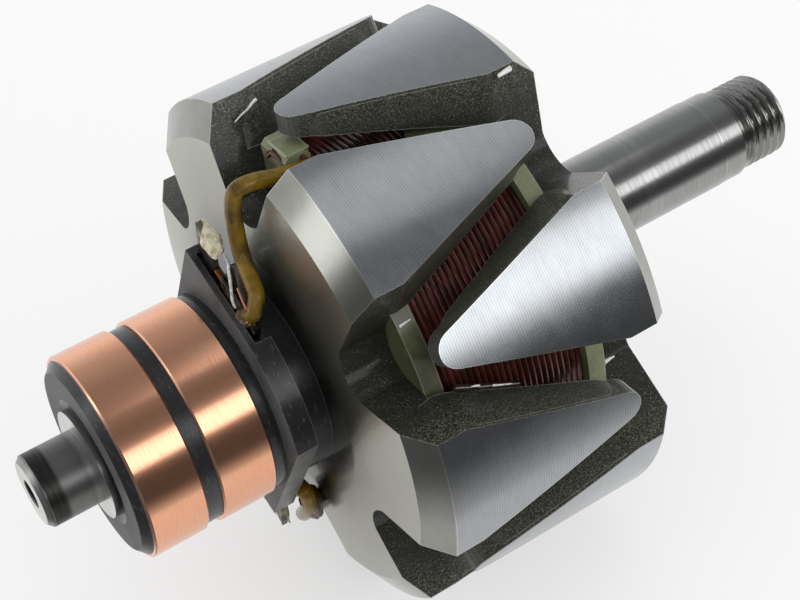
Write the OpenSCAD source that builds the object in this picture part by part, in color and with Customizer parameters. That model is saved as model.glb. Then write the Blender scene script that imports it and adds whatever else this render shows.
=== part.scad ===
// Claw-pole rotor of a vehicle alternator: shaft, two forged pole halves, field coil and slip rings.
// The shaft lies along X, the slip rings towards -X. The origin is where the drive-end bearing seats.

/* [Shaft] */
// Diameter of the drive-end bearing journal
journal_d = 15.9; // [14:0.1:18]
// Length of the drive-end bearing seat
journal_l = 13; // [10:0.5:16]
// Distance from the middle of the poles to the start of the bearing seat
journal_start = 48.75; // [40:0.25:60]
// Length of the plain pulley seat beyond the bearing
pulley_seat_l = 4.7; // [2:0.1:20]
// Amount that the pulley seat is smaller in diameter than the journal
pulley_seat_drop = 0.2; // [0.1:0.05:0.4]
// Outside diameter of the thread for the pulley nut
thread_d = 14.8; // [12:0.1:15.4]
// Length of the thread
thread_l = 8; // [6:0.5:20]
// Length of the relief groove in front of the thread
relief_l = 1.6; // [1:0.1:3]
// Depth of the relief groove below the thread
relief_depth = 0.9; // [0.4:0.1:1.5]
// Diameter of the slip-ring-end bearing stub
stub_d = 12; // [9:0.5:15]
// Length of the slip-ring-end bearing stub
stub_l = 9.2; // [6:0.1:14]
// Diameter of the middle of the shaft, pressed into the pole halves
core_shaft_d = 18; // [17:0.5:22]
// Length of the thick part that stands out beyond what is pressed on it, at either end
collar_out = 0.95; // [0.5:0.05:3]
// Chamfer at the shaft's ends
end_chamfer = 0.9; // [0.4:0.1:1.5]
// Diameter of the centre holes at the shaft's ends
centre_hole_d = 4.8; // [3:0.1:5.5]
// Diameter at the bottom of the centre holes
centre_tip_d = 1.2; // [0.6:0.1:2]
// Depth of the centre holes
centre_hole_depth = 4; // [2:0.5:6]

/* [Poles] */
// Outside diameter of the poles
pole_d = 87; // [80:0.5:96]
// Length of the turned outside of the poles
pole_l = 38.5; // [34:0.5:46]
// Number of claws on each pole half
claws = 6; // [6:1:6]
// Width of the ring-end pole chamfer across the shaft
chamfer_w = 5.1; // [2:0.1:7]
// Length of the ring-end pole chamfer along the shaft
chamfer_l = 2.95; // [1.5:0.05:4]
// Width of the drive-end pole chamfer across the shaft
chamfer_drive_w = 3.3; // [2:0.1:6]
// Length of the drive-end pole chamfer along the shaft
chamfer_drive_l = 3.3; // [1.5:0.05:4]
// Rise of the pole face from the chamfer to the hub
face_rise = 1.2; // [0.4:0.1:3]
// Thickness of the pole disc at the outside, up to the chamfer
disc_rim = 4.25; // [3:0.25:6]
// Width of a claw at its root
claw_root_w = 22.6; // [20:0.1:24]
// Length of a claw's straight sides beyond the pole disc
claw_straight = 0.5; // [0.2:0.1:2]
// Slope of a claw's sides, as width lost on each side for each unit of length
claw_slope = 0.32; // [0.28:0.002:0.34]
// Distance from the middle of the poles to a claw's tip
claw_reach = 14.4; // [12:0.1:16]
// Thickness of a claw at its root
claw_root_t = 8; // [6:0.1:8.5]
// Thickness of a claw at its tip
claw_tip_t = 3.4; // [2.5:0.1:5]
// Thickness of the web between the iron core and the bottom of the notches between the claws
notch_web = 5.5; // [3:0.1:6]
// Radius at the bottom of the notches
notch_r = 6.2; // [5.8:0.1:7]

/* [Coil] */
// Gap between the claws' roots and the bobbin's flanges
claw_gap = 1.3; // [0.5:0.1:3]
// Height of the bobbin's flanges above its tube
flange_h = 10; // [6:0.1:12]
// Drop of the winding below the edge of the flanges
coil_drop = 1.4; // [0.5:0.1:3]
// Number of turns seen side by side
turns = 24; // [16:1:30]
// Thickness of the bobbin's flanges
flange_t = 3; // [2:0.1:4]
// Thickness of the bobbin's tube
tube_t = 1.5; // [1:0.1:2]
// Gap between the bobbin and the iron core
bobbin_gap = 0.2; // [0.1:0.05:0.4]
// Width of the lead post across the notch
post_w = 7; // [5:0.1:8]
// Length of the lead post along the shaft
post_l = 4.3; // [3.5:0.1:6]
// Height of the lead post above the flange
post_h = 3.8; // [2:0.1:4]
// Bevel along the top of the lead post
post_bevel = 0.8; // [0.3:0.1:1.2]
// Width of the wire slot in the lead post
post_slot = 1.4; // [0.8:0.1:2]
// Depth of the wire slot
post_slot_depth = 1.2; // [0.6:0.1:2]
// Turn of the notch with the first lead post about the shaft
notch_turn = 90; // [0:1:359]

/* [Slip rings] */
// Outside diameter of the slip rings
ring_d = 34; // [30:0.5:36]
// Wall thickness of the slip rings
ring_t = 2.5; // [1.5:0.1:3.5]
// Width of each slip ring
ring_w = 9.1; // [7:0.1:11]
// Width of the moulded rib between the slip rings
rib_w = 2.65; // [1.5:0.05:4]
// Depth of the rib and the shoulders below the slip rings
rib_drop = 0.6; // [0.2:0.1:1]
// Length of the tapered nose in front of the outer ring
nose_l = 1.35; // [1:0.05:4]
// Diameter of the nose's flat end
nose_d = 30; // [26:0.5:32]
// Diameter of the countersink around the shaft collar in the nose
nose_recess_d = 21; // [19:0.5:23]
// Depth of the countersink
nose_recess = 0.8; // [0.4:0.1:1.5]
// Distance from the inner ring to the front of the lead flange
shoulder_l = 2.1; // [1:0.1:4]
// Thickness of the lead flange
lead_flange_t = 3.6; // [3:0.1:5]
// Diameter of the round part of the lead flange
lead_flange_d = 42; // [40:0.5:44]
// Distance between the lead flange's two flats
flats = 34; // [33:0.5:36]
// Fall of the first ear's top from the middle to its corner
ear_fall_start = 1.8; // [1:0.1:4]
// Fall of the second ear's top from the middle to its corner
ear_fall_finish = 3.4; // [1:0.1:4]
// Turn of the lead flange back from the first lead's notch
flange_turn = 57.6; // [50:0.1:70]
// Diameter of the neck between the lead flange and the poles
neck_d = 33; // [28:0.5:33]
// Length of the neck
neck_l = 4.55; // [3:0.05:7]
// Thickness of the lip in front of a lead slot
slot_lip = 1; // [0.6:0.1:1.5]
// Depth of a lead slot below the top of the ear
slot_depth = 3.2; // [2.6:0.1:4]
// Thickness of the wall at the closed end of a lead slot
slot_wall = 1.3; // [0.8:0.1:2]

/* [Leads] */
// Outside diameter of the lead sleeves
sleeve_d = 2.6; // [2:0.1:3]
// Diameter of the bare lead wire
wire_d = 0.9; // [0.6:0.1:1.2]
// Thickness of the terminals
terminal_t = 1; // [0.6:0.1:1.4]
// Width of a terminal's foot
terminal_w = 3.6; // [3:0.1:4.5]
// Height of a terminal above the floor of its slot
terminal_h = 7; // [5:0.1:9]
// Amount that a terminal leans outwards at its tip
terminal_lean = 2.4; // [0:0.1:4]

/* [Hidden] */
$fn = 96;
// A small overlap, so that cuts pass right through
eps = 0.5;

// Poles: distances along the shaft from the middle of the poles
pole_r = pole_d / 2;
rim_end = pole_l / 2;
chamfer_end = rim_end + chamfer_l;
face_end = chamfer_end + face_rise;
disc_in = rim_end - disc_rim;
claw_pitch = 360 / claws;
claw_turn = notch_turn - claw_pitch / 2;
claw_angle = atan(claw_slope);
claw_knee = disc_in - claw_straight;
tip_r = (claw_root_w / 2 - claw_slope * (claw_reach + claw_knee)) * cos(claw_angle) / (1 - sin(claw_angle));
tip_centre = claw_reach - tip_r;

// Coil: radii from the claws inwards, and the bobbin fills the room between the two pole discs
flange_r = pole_r - claw_root_t - claw_gap;
coil_r = flange_r - coil_drop;
coil_in_r = flange_r - flange_h;
bobbin_in_r = coil_in_r - tube_t;
core_r = bobbin_in_r - bobbin_gap;
coil_end = disc_in - flange_t;
turn_w = 2 * coil_end / turns;

// Notches: the bars for the claws begin inside the web, which reaches part of the way up the notches
notch_bottom = core_r + notch_web;
web_r = notch_bottom + 0.6 * notch_r;
bar_start = core_r + notch_web / 2;

// Slip rings: distances along the shaft from the middle of the poles, towards the slip rings
flange_back = face_end + neck_l;
flange_front = flange_back + lead_flange_t;
ring_inner_end = flange_front + shoulder_l;
ring_outer_end = ring_inner_end + ring_w + rib_w;
nose_start = ring_outer_end + ring_w;
nose_end = nose_start + nose_l;
seat_r = ring_d / 2 - ring_t;
ear_top = lead_flange_d / 2;
slot_floor = ear_top - slot_depth;
slot_end = flats / 2 - slot_wall;
slot_run = -flange_front + slot_lip + (lead_flange_t - slot_lip) / 2;
ear_turn = notch_turn - flange_turn;

// Shaft: stations from the middle of the poles, drive end positive
collar_ring_end = nose_end + collar_out;
stub_end = collar_ring_end + stub_l;
collar_drive_end = face_end + collar_out;
journal_end = journal_start + journal_l;
pulley_seat_end = journal_end + pulley_seat_l;
relief_end = pulley_seat_end + relief_l;
thread_end = relief_end + thread_l;

// Lays a shape drawn about the Z axis along the shaft, with its zero at the middle of the poles
module on_shaft() {
    translate([-journal_start, 0, 0])
        rotate([90, 0, 90])
            children();
}

// A point at a station along the shaft, a radius and an angle about the shaft
function at(station, r, turn) = [r * cos(turn), r * sin(turn), station];

// A smooth curve through a list of points, with a few steps in each stretch
function curve_point(p, i, t) =
    let (a = p[max(i - 1, 0)], b = p[i], c = p[i + 1], d = p[min(i + 2, len(p) - 1)])
    0.5 * (2 * b + (c - a) * t + (2 * a - 5 * b + 4 * c - d) * t * t + (3 * b - a - 3 * c + d) * t * t * t);
function smooth(p, steps) = concat(
    [for (i = [0 : len(p) - 2], k = [0 : steps - 1]) curve_point(p, i, k / steps)],
    [p[len(p) - 1]]);
function unit(v) = v / norm(v);
function heading(p, i) = unit(p[min(i + 1, len(p) - 1)] - p[max(i - 1, 0)]);
function square_to(n, t) = unit(n - (n * t) * t);

// A round tube of few sides that follows a list of points
module tube_along(path, d, sides) {
    count = len(path);
    headings = [for (i = [0 : count - 1]) heading(path, i)];
    normals = [for (i = 0, n = square_to([0.3, 1, 0.2], headings[0]); i < count; i = i + 1,
                    n = i < count ? square_to(n, headings[i]) : n) n];
    rings = [for (i = [0 : count - 1], k = [0 : sides - 1])
        path[i] + d / 2 * (cos(360 * k / sides) * normals[i]
                           + sin(360 * k / sides) * cross(headings[i], normals[i]))];
    walls = [for (i = [0 : count - 2], k = [0 : sides - 1])
        let (a = i * sides + k, b = i * sides + (k + 1) % sides)
        [a, b, b + sides, a + sides]];
    ends = [[for (k = [sides - 1 : -1 : 0]) k], [for (k = [0 : sides - 1]) (count - 1) * sides + k]];
    polyhedron(rings, concat([for (w = walls) [w[3], w[2], w[1], w[0]]],
                             [for (e = ends) [for (k = [sides - 1 : -1 : 0]) e[k]]]));
}

// Shaft, turned in one piece
module shaft() {
    seat_r = (journal_d - pulley_seat_drop) / 2;
    relief_r = thread_d / 2 - relief_depth;
    thread_r = thread_d / 2;
    color("slategray") on_shaft() difference() {
        rotate_extrude() polygon([
            [0, -stub_end],
            [stub_d / 2 - end_chamfer, -stub_end],
            [stub_d / 2, -stub_end + end_chamfer],
            [stub_d / 2, -collar_ring_end],
            [core_shaft_d / 2, -collar_ring_end],
            [core_shaft_d / 2, collar_drive_end],
            [journal_d / 2, collar_drive_end],
            [journal_d / 2, journal_end],
            [seat_r, journal_end],
            [seat_r, pulley_seat_end - end_chamfer / 2],
            [seat_r - end_chamfer / 2, pulley_seat_end],
            [relief_r, pulley_seat_end],
            [relief_r, relief_end],
            [thread_r, relief_end],
            [thread_r, thread_end - end_chamfer],
            [thread_r - end_chamfer, thread_end],
            [0, thread_end]]);
        for (side = [0, 1]) mirror([0, 0, side])
            translate([0, 0, (side == 0 ? thread_end : stub_end) - centre_hole_depth])
                cylinder(h = centre_hole_depth + eps, r1 = centre_tip_d / 2,
                         r2 = centre_hole_d / 2 * (1 + eps / centre_hole_depth));
    }
}

// Outline of a claw, seen from outside, with its root towards the pole face and a round tip
module claw_outline() {
    half = claw_root_w / 2;
    root = -face_end - 2 * eps;
    steps = 8;
    tip = [for (k = [0 : steps])
        let (a = claw_angle + k * (180 - 2 * claw_angle) / steps)
        [tip_r * cos(a), tip_centre + tip_r * sin(a)]];
    polygon(concat([[-half, root], [half, root], [half, -claw_knee]], tip, [[-half, -claw_knee]]));
}

// The star that the blank is forged to: a hub with round notches, and a bar for each claw
module claw_star() {
    difference() {
        translate([0, 0, -face_end - eps]) cylinder(h = face_end + 2 * eps, r = web_r);
        for (k = [0 : claws - 1]) rotate([0, 0, (k + 0.5) * claw_pitch])
            translate([notch_bottom + notch_r, 0, -face_end - 3 * eps])
                cylinder(h = face_end + 6 * eps, r = notch_r);
    }
    for (k = [0 : claws - 1]) rotate([0, 0, k * claw_pitch])
        translate([bar_start, 0, 0])
            rotate([90, 0, 90]) linear_extrude(pole_r) claw_outline();
}

// One forging: hub, pole disc and claws, with its face towards the slip rings and a chamfer around the face
module pole_half(bevel_w, bevel_l) {
    intersection() {
        rotate_extrude() polygon([
            [core_shaft_d / 2, 0], [core_r, 0], [core_r, -disc_in], [pole_r - claw_root_t, -disc_in],
            [pole_r - claw_tip_t, claw_reach + eps], [pole_r, claw_reach + eps], [pole_r, -rim_end],
            [pole_r - bevel_w, -rim_end - bevel_l], [core_r, -face_end], [core_shaft_d / 2, -face_end]]);
        claw_star();
    }
}

module pole_half_ring_end() {
    color("silver") on_shaft() rotate([0, 0, claw_turn]) pole_half(chamfer_w, chamfer_l);
}

module pole_half_drive_end() {
    color("silver") on_shaft() rotate([0, 0, notch_turn]) mirror([0, 0, 1])
        pole_half(chamfer_drive_w, chamfer_drive_l);
}

// Post on the bobbin's flange that holds the start of the winding, with a bevelled top and a slot for the wire
module lead_post() {
    post_top = flange_r + post_h;
    post_start = -disc_in - post_l + flange_t;
    rotate([0, 0, notch_turn]) difference() {
        translate([0, post_w / 2, post_start]) rotate([90, 0, 0]) linear_extrude(post_w)
            polygon([[flange_r - flange_t, 0], [post_top - post_bevel, 0], [post_top, post_bevel],
                     [post_top, post_l - post_bevel], [post_top - post_bevel, post_l], [flange_r - flange_t, post_l]]);
        translate([post_top - post_slot_depth, -post_slot / 2, post_start - eps])
            cube([post_slot_depth + eps, post_slot, post_l + 2 * eps]);
    }
}

// Bobbin: a spool with a lead post in a notch on either side of the shaft
module bobbin() {
    color("palegoldenrod") on_shaft() {
        rotate_extrude() polygon([
            [bobbin_in_r, -disc_in], [flange_r, -disc_in], [flange_r, -coil_end],
            [coil_in_r, -coil_end], [coil_in_r, coil_end], [flange_r, coil_end],
            [flange_r, disc_in], [bobbin_in_r, disc_in]]);
        for (turn = [0, 180]) rotate([0, 0, turn]) lead_post();
    }
}

// Coil: its outside follows the round wires of the last layer
module field_coil() {
    wire_r = turn_w / 2;
    steps = 6;
    color("brown") on_shaft() rotate_extrude() polygon(concat(
        [[coil_in_r, coil_end], [coil_in_r, -coil_end]],
        [for (k = [0 : turns - 1], s = [0 : steps - (k < turns - 1 ? 1 : 0)])
            [coil_r - wire_r + wire_r * sin(180 * s / steps),
             -coil_end + (k + 0.5) * turn_w - wire_r * cos(180 * s / steps)]]));
}

// Outline of the lead flange: a round plate between two flats, with an ear at two opposite corners
module lead_flange() {
    translate([0, 0, -flange_front]) intersection() {
        union() {
            cylinder(h = lead_flange_t, d = lead_flange_d);
            for (ear = [[0, ear_fall_start], [180, ear_fall_finish]]) rotate([0, 0, ear[0]])
                linear_extrude(lead_flange_t)
                    polygon([[0, 0], [flats / 2, 0], [flats / 2, ear_top - ear[1]], [0, ear_top]]);
        }
        translate([-flats / 2, -lead_flange_d, 0]) cube([flats, 2 * lead_flange_d, lead_flange_t]);
    }
}

// Slot in an ear for the end of a lead, open towards the poles
module lead_slot() {
    translate([-slot_wall, slot_floor, -flange_front + slot_lip])
        cube([slot_end + slot_wall, 2 * slot_depth, lead_flange_t]);
}

// Black moulding that carries the slip rings and guides the leads
module slip_ring_body() {
    bore_r = core_shaft_d / 2;
    rib_r = ring_d / 2 - rib_drop;
    neck_r = neck_d / 2;
    color("dimgray") on_shaft() {
        rotate_extrude() polygon([
            [bore_r, -nose_end + nose_recess], [nose_recess_d / 2, -nose_end], [nose_d / 2, -nose_end],
            [rib_r, -nose_start], [seat_r, -nose_start], [seat_r, -ring_outer_end],
            [rib_r, -ring_outer_end], [rib_r, -ring_inner_end - ring_w], [seat_r, -ring_inner_end - ring_w],
            [seat_r, -ring_inner_end], [rib_r, -ring_inner_end], [neck_r, -flange_front - shoulder_l / 2],
            [neck_r, -face_end], [bore_r, -face_end]]);
        rotate([0, 0, ear_turn]) difference() {
            lead_flange();
            for (turn = [0, 180]) rotate([0, 0, turn]) lead_slot();
            translate([0, 0, -flange_front - eps])
                cylinder(h = lead_flange_t + 2 * eps, r = (bore_r + seat_r) / 2);
        }
    }
}

// A copper slip ring whose outer end lies at a station along the shaft
module slip_ring(end) {
    edge = ring_t / 10;
    on_shaft() rotate_extrude() polygon([
        [seat_r, -end], [ring_d / 2 - edge, -end], [ring_d / 2, -end - edge],
        [ring_d / 2, -end - ring_w + edge], [ring_d / 2 - edge, -end - ring_w], [seat_r, -end - ring_w]]);
}

module slip_ring_outer() {
    color("peru") slip_ring(ring_outer_end);
}

module slip_ring_inner() {
    color("peru") slip_ring(ring_inner_end);
}

// Lead sleeves: from the bobbin's post over the pole face to the slot in the lead flange
over_face = -face_end - sleeve_d;
post_r = flange_r + sleeve_d;
slot_r = slot_floor + sleeve_d;
start_route = [
    at(-coil_end + 0.4, post_r - 0.6, notch_turn + 8.2),
    at(-disc_in - 2.8, post_r + 0.1, notch_turn + 7.4),
    at(-chamfer_end + 0.2, post_r + 1.2, notch_turn + 7),
    at(over_face + 1.2, post_r + 0.8, notch_turn + 6.6),
    at(over_face + 0.3, post_r - 2.2, notch_turn + 6.2),
    at(over_face + 0.1, post_r - 6.4, notch_turn + 6.4),
    at(over_face - 0.2, slot_r + 6.2, notch_turn + 9),
    at(over_face - 0.6, slot_r + 4, notch_turn + 15.5),
    at(over_face - 1.2, slot_r + 3, notch_turn + 21.5),
    at(over_face - 2.4, slot_r + 1, notch_turn + 24.5),
    at(slot_run, slot_r, notch_turn + 23)];
finish_route = [
    at(-coil_end + 0.4, post_r - 0.6, notch_turn + 188.2),
    at(-disc_in - 2.8, post_r - 0.2, notch_turn + 187),
    at(-chamfer_end + 0.2, post_r - 1, notch_turn + 184.5),
    at(over_face + 1.4, post_r - 3.6, notch_turn + 181),
    at(over_face + 0.6, post_r - 6.8, notch_turn + 175),
    at(over_face + 0.2, slot_r + 5.6, notch_turn + 166.5),
    at(over_face, slot_r + 2.4, notch_turn + 164),
    at(over_face - 0.4, slot_r + 1.2, notch_turn + 172),
    at(over_face - 1.4, slot_r + 1.4, notch_turn + 187),
    at(over_face - 2.6, slot_r + 0.8, notch_turn + 198),
    at(slot_run, slot_r, notch_turn + 203)];

module lead_sleeve_start() {
    color("darkgoldenrod") on_shaft() tube_along(smooth(start_route, 3), sleeve_d, 10);
}

module lead_sleeve_finish() {
    color("darkgoldenrod") on_shaft() tube_along(smooth(finish_route, 3), sleeve_d, 10);
}

// Bare wire from the end of a sleeve along the slot to the foot of the terminal
module lead_wire(end) {
    foot = slot_end - terminal_w;
    tail = [for (p = [[foot, slot_floor + 1.6], [foot - 4, slot_floor + 1.2], [foot - 8, slot_floor + 1.1]])
        [p[0] * cos(ear_turn) - p[1] * sin(ear_turn), p[0] * sin(ear_turn) + p[1] * cos(ear_turn), slot_run]];
    route = concat([end], [tail[2], tail[1], tail[0]]);
    on_shaft() tube_along(smooth(route, 3), wire_d, 8);
}

module lead_wire_start() {
    color("chocolate") lead_wire(start_route[len(start_route) - 1]);
}

module lead_wire_finish() {
    color("chocolate") rotate([180, 0, 0]) lead_wire(start_route[len(start_route) - 1]);
}

// Pointed terminal that stands on the floor of a lead slot, by its closed end
module terminal() {
    foot = slot_end - terminal_w;
    on_shaft() rotate([0, 0, ear_turn]) translate([0, slot_floor, slot_run - terminal_t / 2])
        linear_extrude(terminal_t) polygon([
            [foot, 0], [slot_end, 0], [slot_end + terminal_lean / 2, terminal_h / 2],
            [slot_end + terminal_lean, terminal_h], [foot + terminal_lean / 2, terminal_h * 0.7],
            [foot, terminal_h * 0.4]]);
}

module terminal_start() {
    color("lightgray") terminal();
}

module terminal_finish() {
    color("lightgray") rotate([180, 0, 0]) terminal();
}

shaft();
pole_half_ring_end();
pole_half_drive_end();
bobbin();
field_coil();
slip_ring_body();
slip_ring_outer();
slip_ring_inner();
lead_sleeve_start();
lead_sleeve_finish();
lead_wire_start();
lead_wire_finish();
terminal_start();
terminal_finish();
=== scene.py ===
"""Finishes and small pieces for a claw-pole alternator rotor, laid out as a Blender add-on."""

import math

import bmesh
import bpy
from bpy.props import FloatProperty, FloatVectorProperty, IntProperty, PointerProperty
from mathutils import Matrix, Quaternion, Vector, noise


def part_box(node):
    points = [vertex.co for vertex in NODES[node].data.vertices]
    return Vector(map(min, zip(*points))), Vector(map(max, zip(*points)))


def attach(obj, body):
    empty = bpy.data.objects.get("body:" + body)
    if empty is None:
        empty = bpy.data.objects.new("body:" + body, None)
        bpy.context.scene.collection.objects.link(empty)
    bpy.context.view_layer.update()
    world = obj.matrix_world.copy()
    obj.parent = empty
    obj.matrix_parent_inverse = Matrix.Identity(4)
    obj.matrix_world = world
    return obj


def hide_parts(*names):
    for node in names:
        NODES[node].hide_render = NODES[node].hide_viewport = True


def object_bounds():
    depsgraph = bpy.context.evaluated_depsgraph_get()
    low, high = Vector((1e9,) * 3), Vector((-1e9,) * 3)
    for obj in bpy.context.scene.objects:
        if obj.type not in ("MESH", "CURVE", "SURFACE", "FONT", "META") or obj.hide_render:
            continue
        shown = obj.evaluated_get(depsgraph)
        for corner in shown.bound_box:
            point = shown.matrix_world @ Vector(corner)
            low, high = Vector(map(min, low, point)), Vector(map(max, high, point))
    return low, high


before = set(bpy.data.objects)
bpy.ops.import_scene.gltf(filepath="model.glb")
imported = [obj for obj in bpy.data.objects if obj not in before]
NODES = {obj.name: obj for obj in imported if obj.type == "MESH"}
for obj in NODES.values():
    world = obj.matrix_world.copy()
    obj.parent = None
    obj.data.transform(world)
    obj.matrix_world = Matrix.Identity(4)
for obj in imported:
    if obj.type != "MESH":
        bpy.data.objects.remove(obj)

bl_info = {
    "name": "Claw-pole rotor",
    "version": (1, 0, 0),
    "blender": (4, 5, 0),
    "location": "View3D > Sidebar > Rotor",
    "description": "Dresses a claw-pole alternator rotor and sets its studio",
    "category": "Object",
}

CAD_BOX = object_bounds()
MM = 0.001
# Claws on each pole half, turn of the first terminal in degrees, and width of the camera's sensor in mm
CLAWS = 6
EAR_TURN = 32.4
SENSOR_WIDTH = 36.0
LONG_WAY, SIDE_WAY, UP_WAY = Vector((1, 0, 0)), Vector((0, 1, 0)), Vector((0, 0, 1))


def length(name, description, default):
    """A size in metres that a user may change."""
    return FloatProperty(name=name, description=description, default=default, min=0.0,
                         precision=5, unit="LENGTH", subtype="DISTANCE")


def colour(name, description, default):
    """A colour that a user may change."""
    return FloatVectorProperty(name=name, description=description, default=default, size=3,
                               min=0.0, max=1.0, subtype="COLOR")


class RotorSizes(bpy.types.PropertyGroup):
    """Sizes of the rotor that the finishes and small pieces follow."""
    pole_middle: length("Pole middle", "From the bearing seat back to the middle of the poles", 48.75 * MM)
    pole_radius: length("Pole radius", "Outside radius of the turned poles", 43.5 * MM)
    claw_root_width: length("Claw root width", "Width of a claw at its root", 22.6 * MM)
    claw_root: length("Claw root", "From the middle of the poles back to a claw's root", 15.0 * MM)
    claw_knee: length("Claw knee", "From the middle of the poles back to where a claw's sides slope",
                      14.5 * MM)
    claw_reach: length("Claw reach", "From the middle of the poles to a claw's tip", 14.4 * MM)
    claw_round: length("Claw round", "From the middle of the poles to the round of a claw's tip", 12.4 * MM)
    claw_root_depth: length("Claw root thickness", "Thickness of a claw at its root", 8.0 * MM)
    claw_tip_depth: length("Claw tip thickness", "Thickness of a claw at its tip", 3.4 * MM)
    claw_slope: FloatProperty(
        name="Claw slope", description="Width lost on each side of a claw along it", default=0.32)
    claw_draft: FloatProperty(
        name="Claw draft", description="Width gained on each side of a claw towards the shaft", default=0.12)
    claw_land: length("Claw land", "Upright rim of a claw's side under its turned outside", 0.5 * MM)
    turning_pitch: length("Turning pitch", "Distance between the tool marks on the poles", 0.42 * MM)
    stub_radius: length("Stub radius", "Radius of the slip-ring-end bearing stub", 6.0 * MM)
    collar_radius: length("Collar radius", "Radius of the middle of the shaft", 9.0 * MM)
    journal_radius: length("Journal radius", "Radius of the drive-end journal", 7.95 * MM)
    seat_radius: length("Pulley seat radius", "Radius of the pulley seat", 7.85 * MM)
    relief_radius: length("Relief radius", "Radius at the bottom of the relief groove", 6.5 * MM)
    thread_radius: length("Thread radius", "Radius over the thread's ridges", 7.4 * MM)
    thread_pitch: length("Thread pitch", "Distance between the thread's ridges", 1.6 * MM)
    thread_depth: length("Thread depth", "Depth of the thread below its ridges", 0.8 * MM)
    end_chamfer: length("End chamfer", "Chamfer at the shaft's ends", 0.9 * MM)
    hole_radius: length("Centre hole radius", "Radius of the centre holes at the face", 2.4 * MM)
    hole_depth: length("Centre hole depth", "Depth of the centre holes", 4.0 * MM)
    sleeve_diameter: length("Sleeve diameter", "Outside diameter of the lead sleeves", 2.6 * MM)
    wire_diameter: length("Wire diameter", "Diameter of the lead wire", 0.9 * MM)
    braid_pitch: length("Braid pitch", "Distance between the crossings of the braid", 0.62 * MM)
    braid_strands: IntProperty(
        name="Braid strands", description="Crossings around the sleeve", default=12, min=4)


class RotorColours(bpy.types.PropertyGroup):
    """Colours of the rotor's finishes."""
    turned: colour("Turned steel", "Turned outside of the poles", (0.41, 0.425, 0.44))
    chamfer: colour("Chamfer steel", "Chamfers around the pole faces", (0.29, 0.295, 0.27))
    forged: colour("Forged skin", "Dark forged skin of the claws' sides", (0.010, 0.012, 0.007))
    varnish: colour("Varnish", "Black varnish on the pole faces", (0.008, 0.007, 0.006))
    # Near white of the clear varnish runs, a painted highlight
    painted_gleam: colour("Clear varnish", "Clear varnish where it gleams", (0.78, 0.79, 0.76))
    amber: colour("Amber varnish", "Thick clear varnish around the leads", (0.085, 0.036, 0.004))
    ground: colour("Ground steel", "Ground steel of the shaft", (0.33, 0.33, 0.325))
    nylon: colour("Nylon", "Moulded bobbin", (0.20, 0.22, 0.115))
    enamel: colour("Enamel", "Enamel of the winding", (0.055, 0.016, 0.012))
    moulding: colour("Moulding", "Black resin under the slip rings", (0.012, 0.012, 0.014))
    copper: colour("Slip-ring copper", "Turned copper of the slip rings", (0.88, 0.45, 0.28))
    sleeve: colour("Sleeve", "Varnished braid of the lead sleeves", (0.195, 0.113, 0.006))
    wire: colour("Bare wire", "Bare copper of the lead ends", (0.55, 0.19, 0.10))
    tin: colour("Tin", "Tinned terminals", (0.20, 0.19, 0.16))
    solder: colour("Solder", "Grainy solder on the terminals", (0.88, 0.84, 0.62))
    floor: colour("Floor", "Pale studio floor", (0.90, 0.90, 0.90))


class RotorStage(bpy.types.PropertyGroup):
    """Camera and light of the studio."""
    camera_place: FloatVectorProperty(
        name="Camera place", description="Where the camera stands", size=3, precision=5,
        default=(-0.149611, -0.201198, 0.185003), subtype="TRANSLATION", unit="LENGTH")
    camera_aim: FloatVectorProperty(
        name="Camera aim", description="Unit direction that the camera looks in", size=3, precision=6,
        default=(0.346067, 0.690872, -0.634772), subtype="DIRECTION")
    camera_roll: FloatProperty(
        name="Camera roll", description="Turn of the camera about its own axis", precision=5,
        default=math.radians(10.03), subtype="ANGLE", unit="ROTATION")
    camera_lens: FloatProperty(
        name="Lens", description="Focal length on a 36 mm sensor", default=81.36, min=1.0,
        subtype="DISTANCE_CAMERA", unit="CAMERA")
    key_power: FloatProperty(
        name="Key power", description="Power of the large soft box beside the camera", default=0.60, min=0.0,
        subtype="POWER", unit="POWER")
    top_power: FloatProperty(
        name="Top power", description="Power of the soft box overhead", default=0.12, min=0.0,
        subtype="POWER", unit="POWER")
    ambient: FloatProperty(
        name="Ambient", description="Level of the even light from all around", default=0.95, min=0.0,
        subtype="FACTOR")


def sizes():
    """The sizes in use."""
    return bpy.context.scene.rotor_sizes


def colours():
    """The colours in use."""
    return bpy.context.scene.rotor_colours


def at(station, radius, turn):
    """Point at a station from the middle of the poles, a radius and a turn, in mm and degrees."""
    angle = math.radians(turn)
    return Vector((station * MM - sizes().pole_middle,
                   radius * MM * math.cos(angle), radius * MM * math.sin(angle)))


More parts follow.
